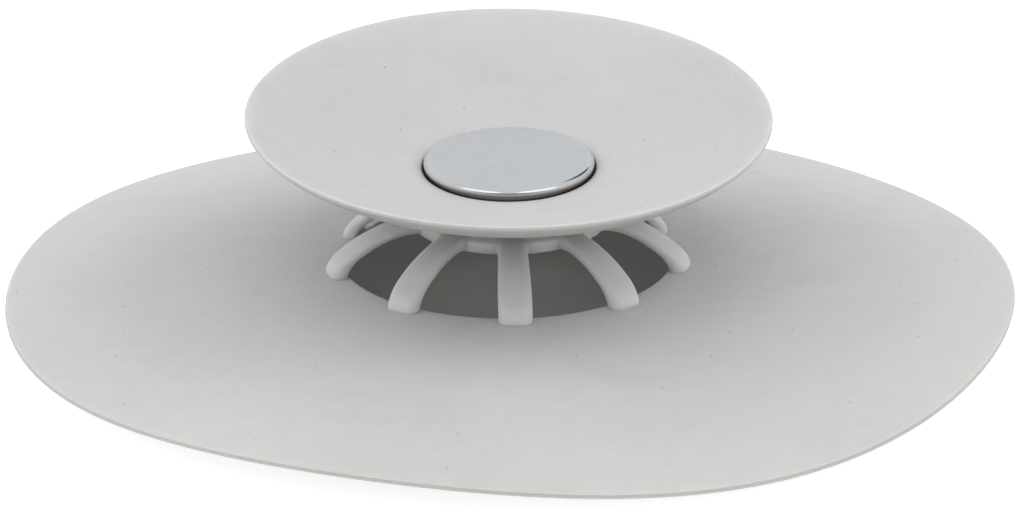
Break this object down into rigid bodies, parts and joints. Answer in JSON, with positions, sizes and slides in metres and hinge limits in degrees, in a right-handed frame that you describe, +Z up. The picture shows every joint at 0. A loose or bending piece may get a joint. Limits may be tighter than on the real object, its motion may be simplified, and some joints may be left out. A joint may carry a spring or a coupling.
{
  "type": "drain stopper",
  "caption": "Push-down basin drain stopper and strainer: flexible round flange, arched rib cage, shallow dish and steel push button.",
  "frame": {"origin": "middle of the flange's flat underside, on the basin floor", "axes": "+Z up through the button; +X to the right as seen from the front, with the first rib near -Y"},
  "size_m": [0.15, 0.15, 0.032],
  "materials": {
    "grey_rubber": "matt, slightly translucent moulded thermoplastic rubber",
    "stainless": "fine turned face, polished rolled edge",
    "white_plastic": "moulded",
    "spring_steel": "pressed"
  },
  "bodies": {
    "base": {"base_flange": "grey_rubber", "rib_01": "grey_rubber", "rib_02": "grey_rubber", "rib_03": "grey_rubber", "rib_04": "grey_rubber", "rib_05": "grey_rubber", "rib_06": "grey_rubber", "rib_07": "grey_rubber", "rib_08": "grey_rubber", "rib_09": "grey_rubber", "rib_10": "grey_rubber"},
    "stopper": {"hub": "grey_rubber", "stopper_dish": "grey_rubber", "button_cap": "stainless", "button_core": "white_plastic", "retaining_washer": "spring_steel"}
  },
  "joints": [
    {"name": "stopper_slide", "type": "slide", "parent": "base", "child": "stopper", "axis": [0, 0, 1], "range_m": [-0.013, 0], "deforming": ["rib_01", "rib_02", "rib_03", "rib_04", "rib_05", "rib_06", "rib_07", "rib_08", "rib_09", "rib_10"]}
  ]
}
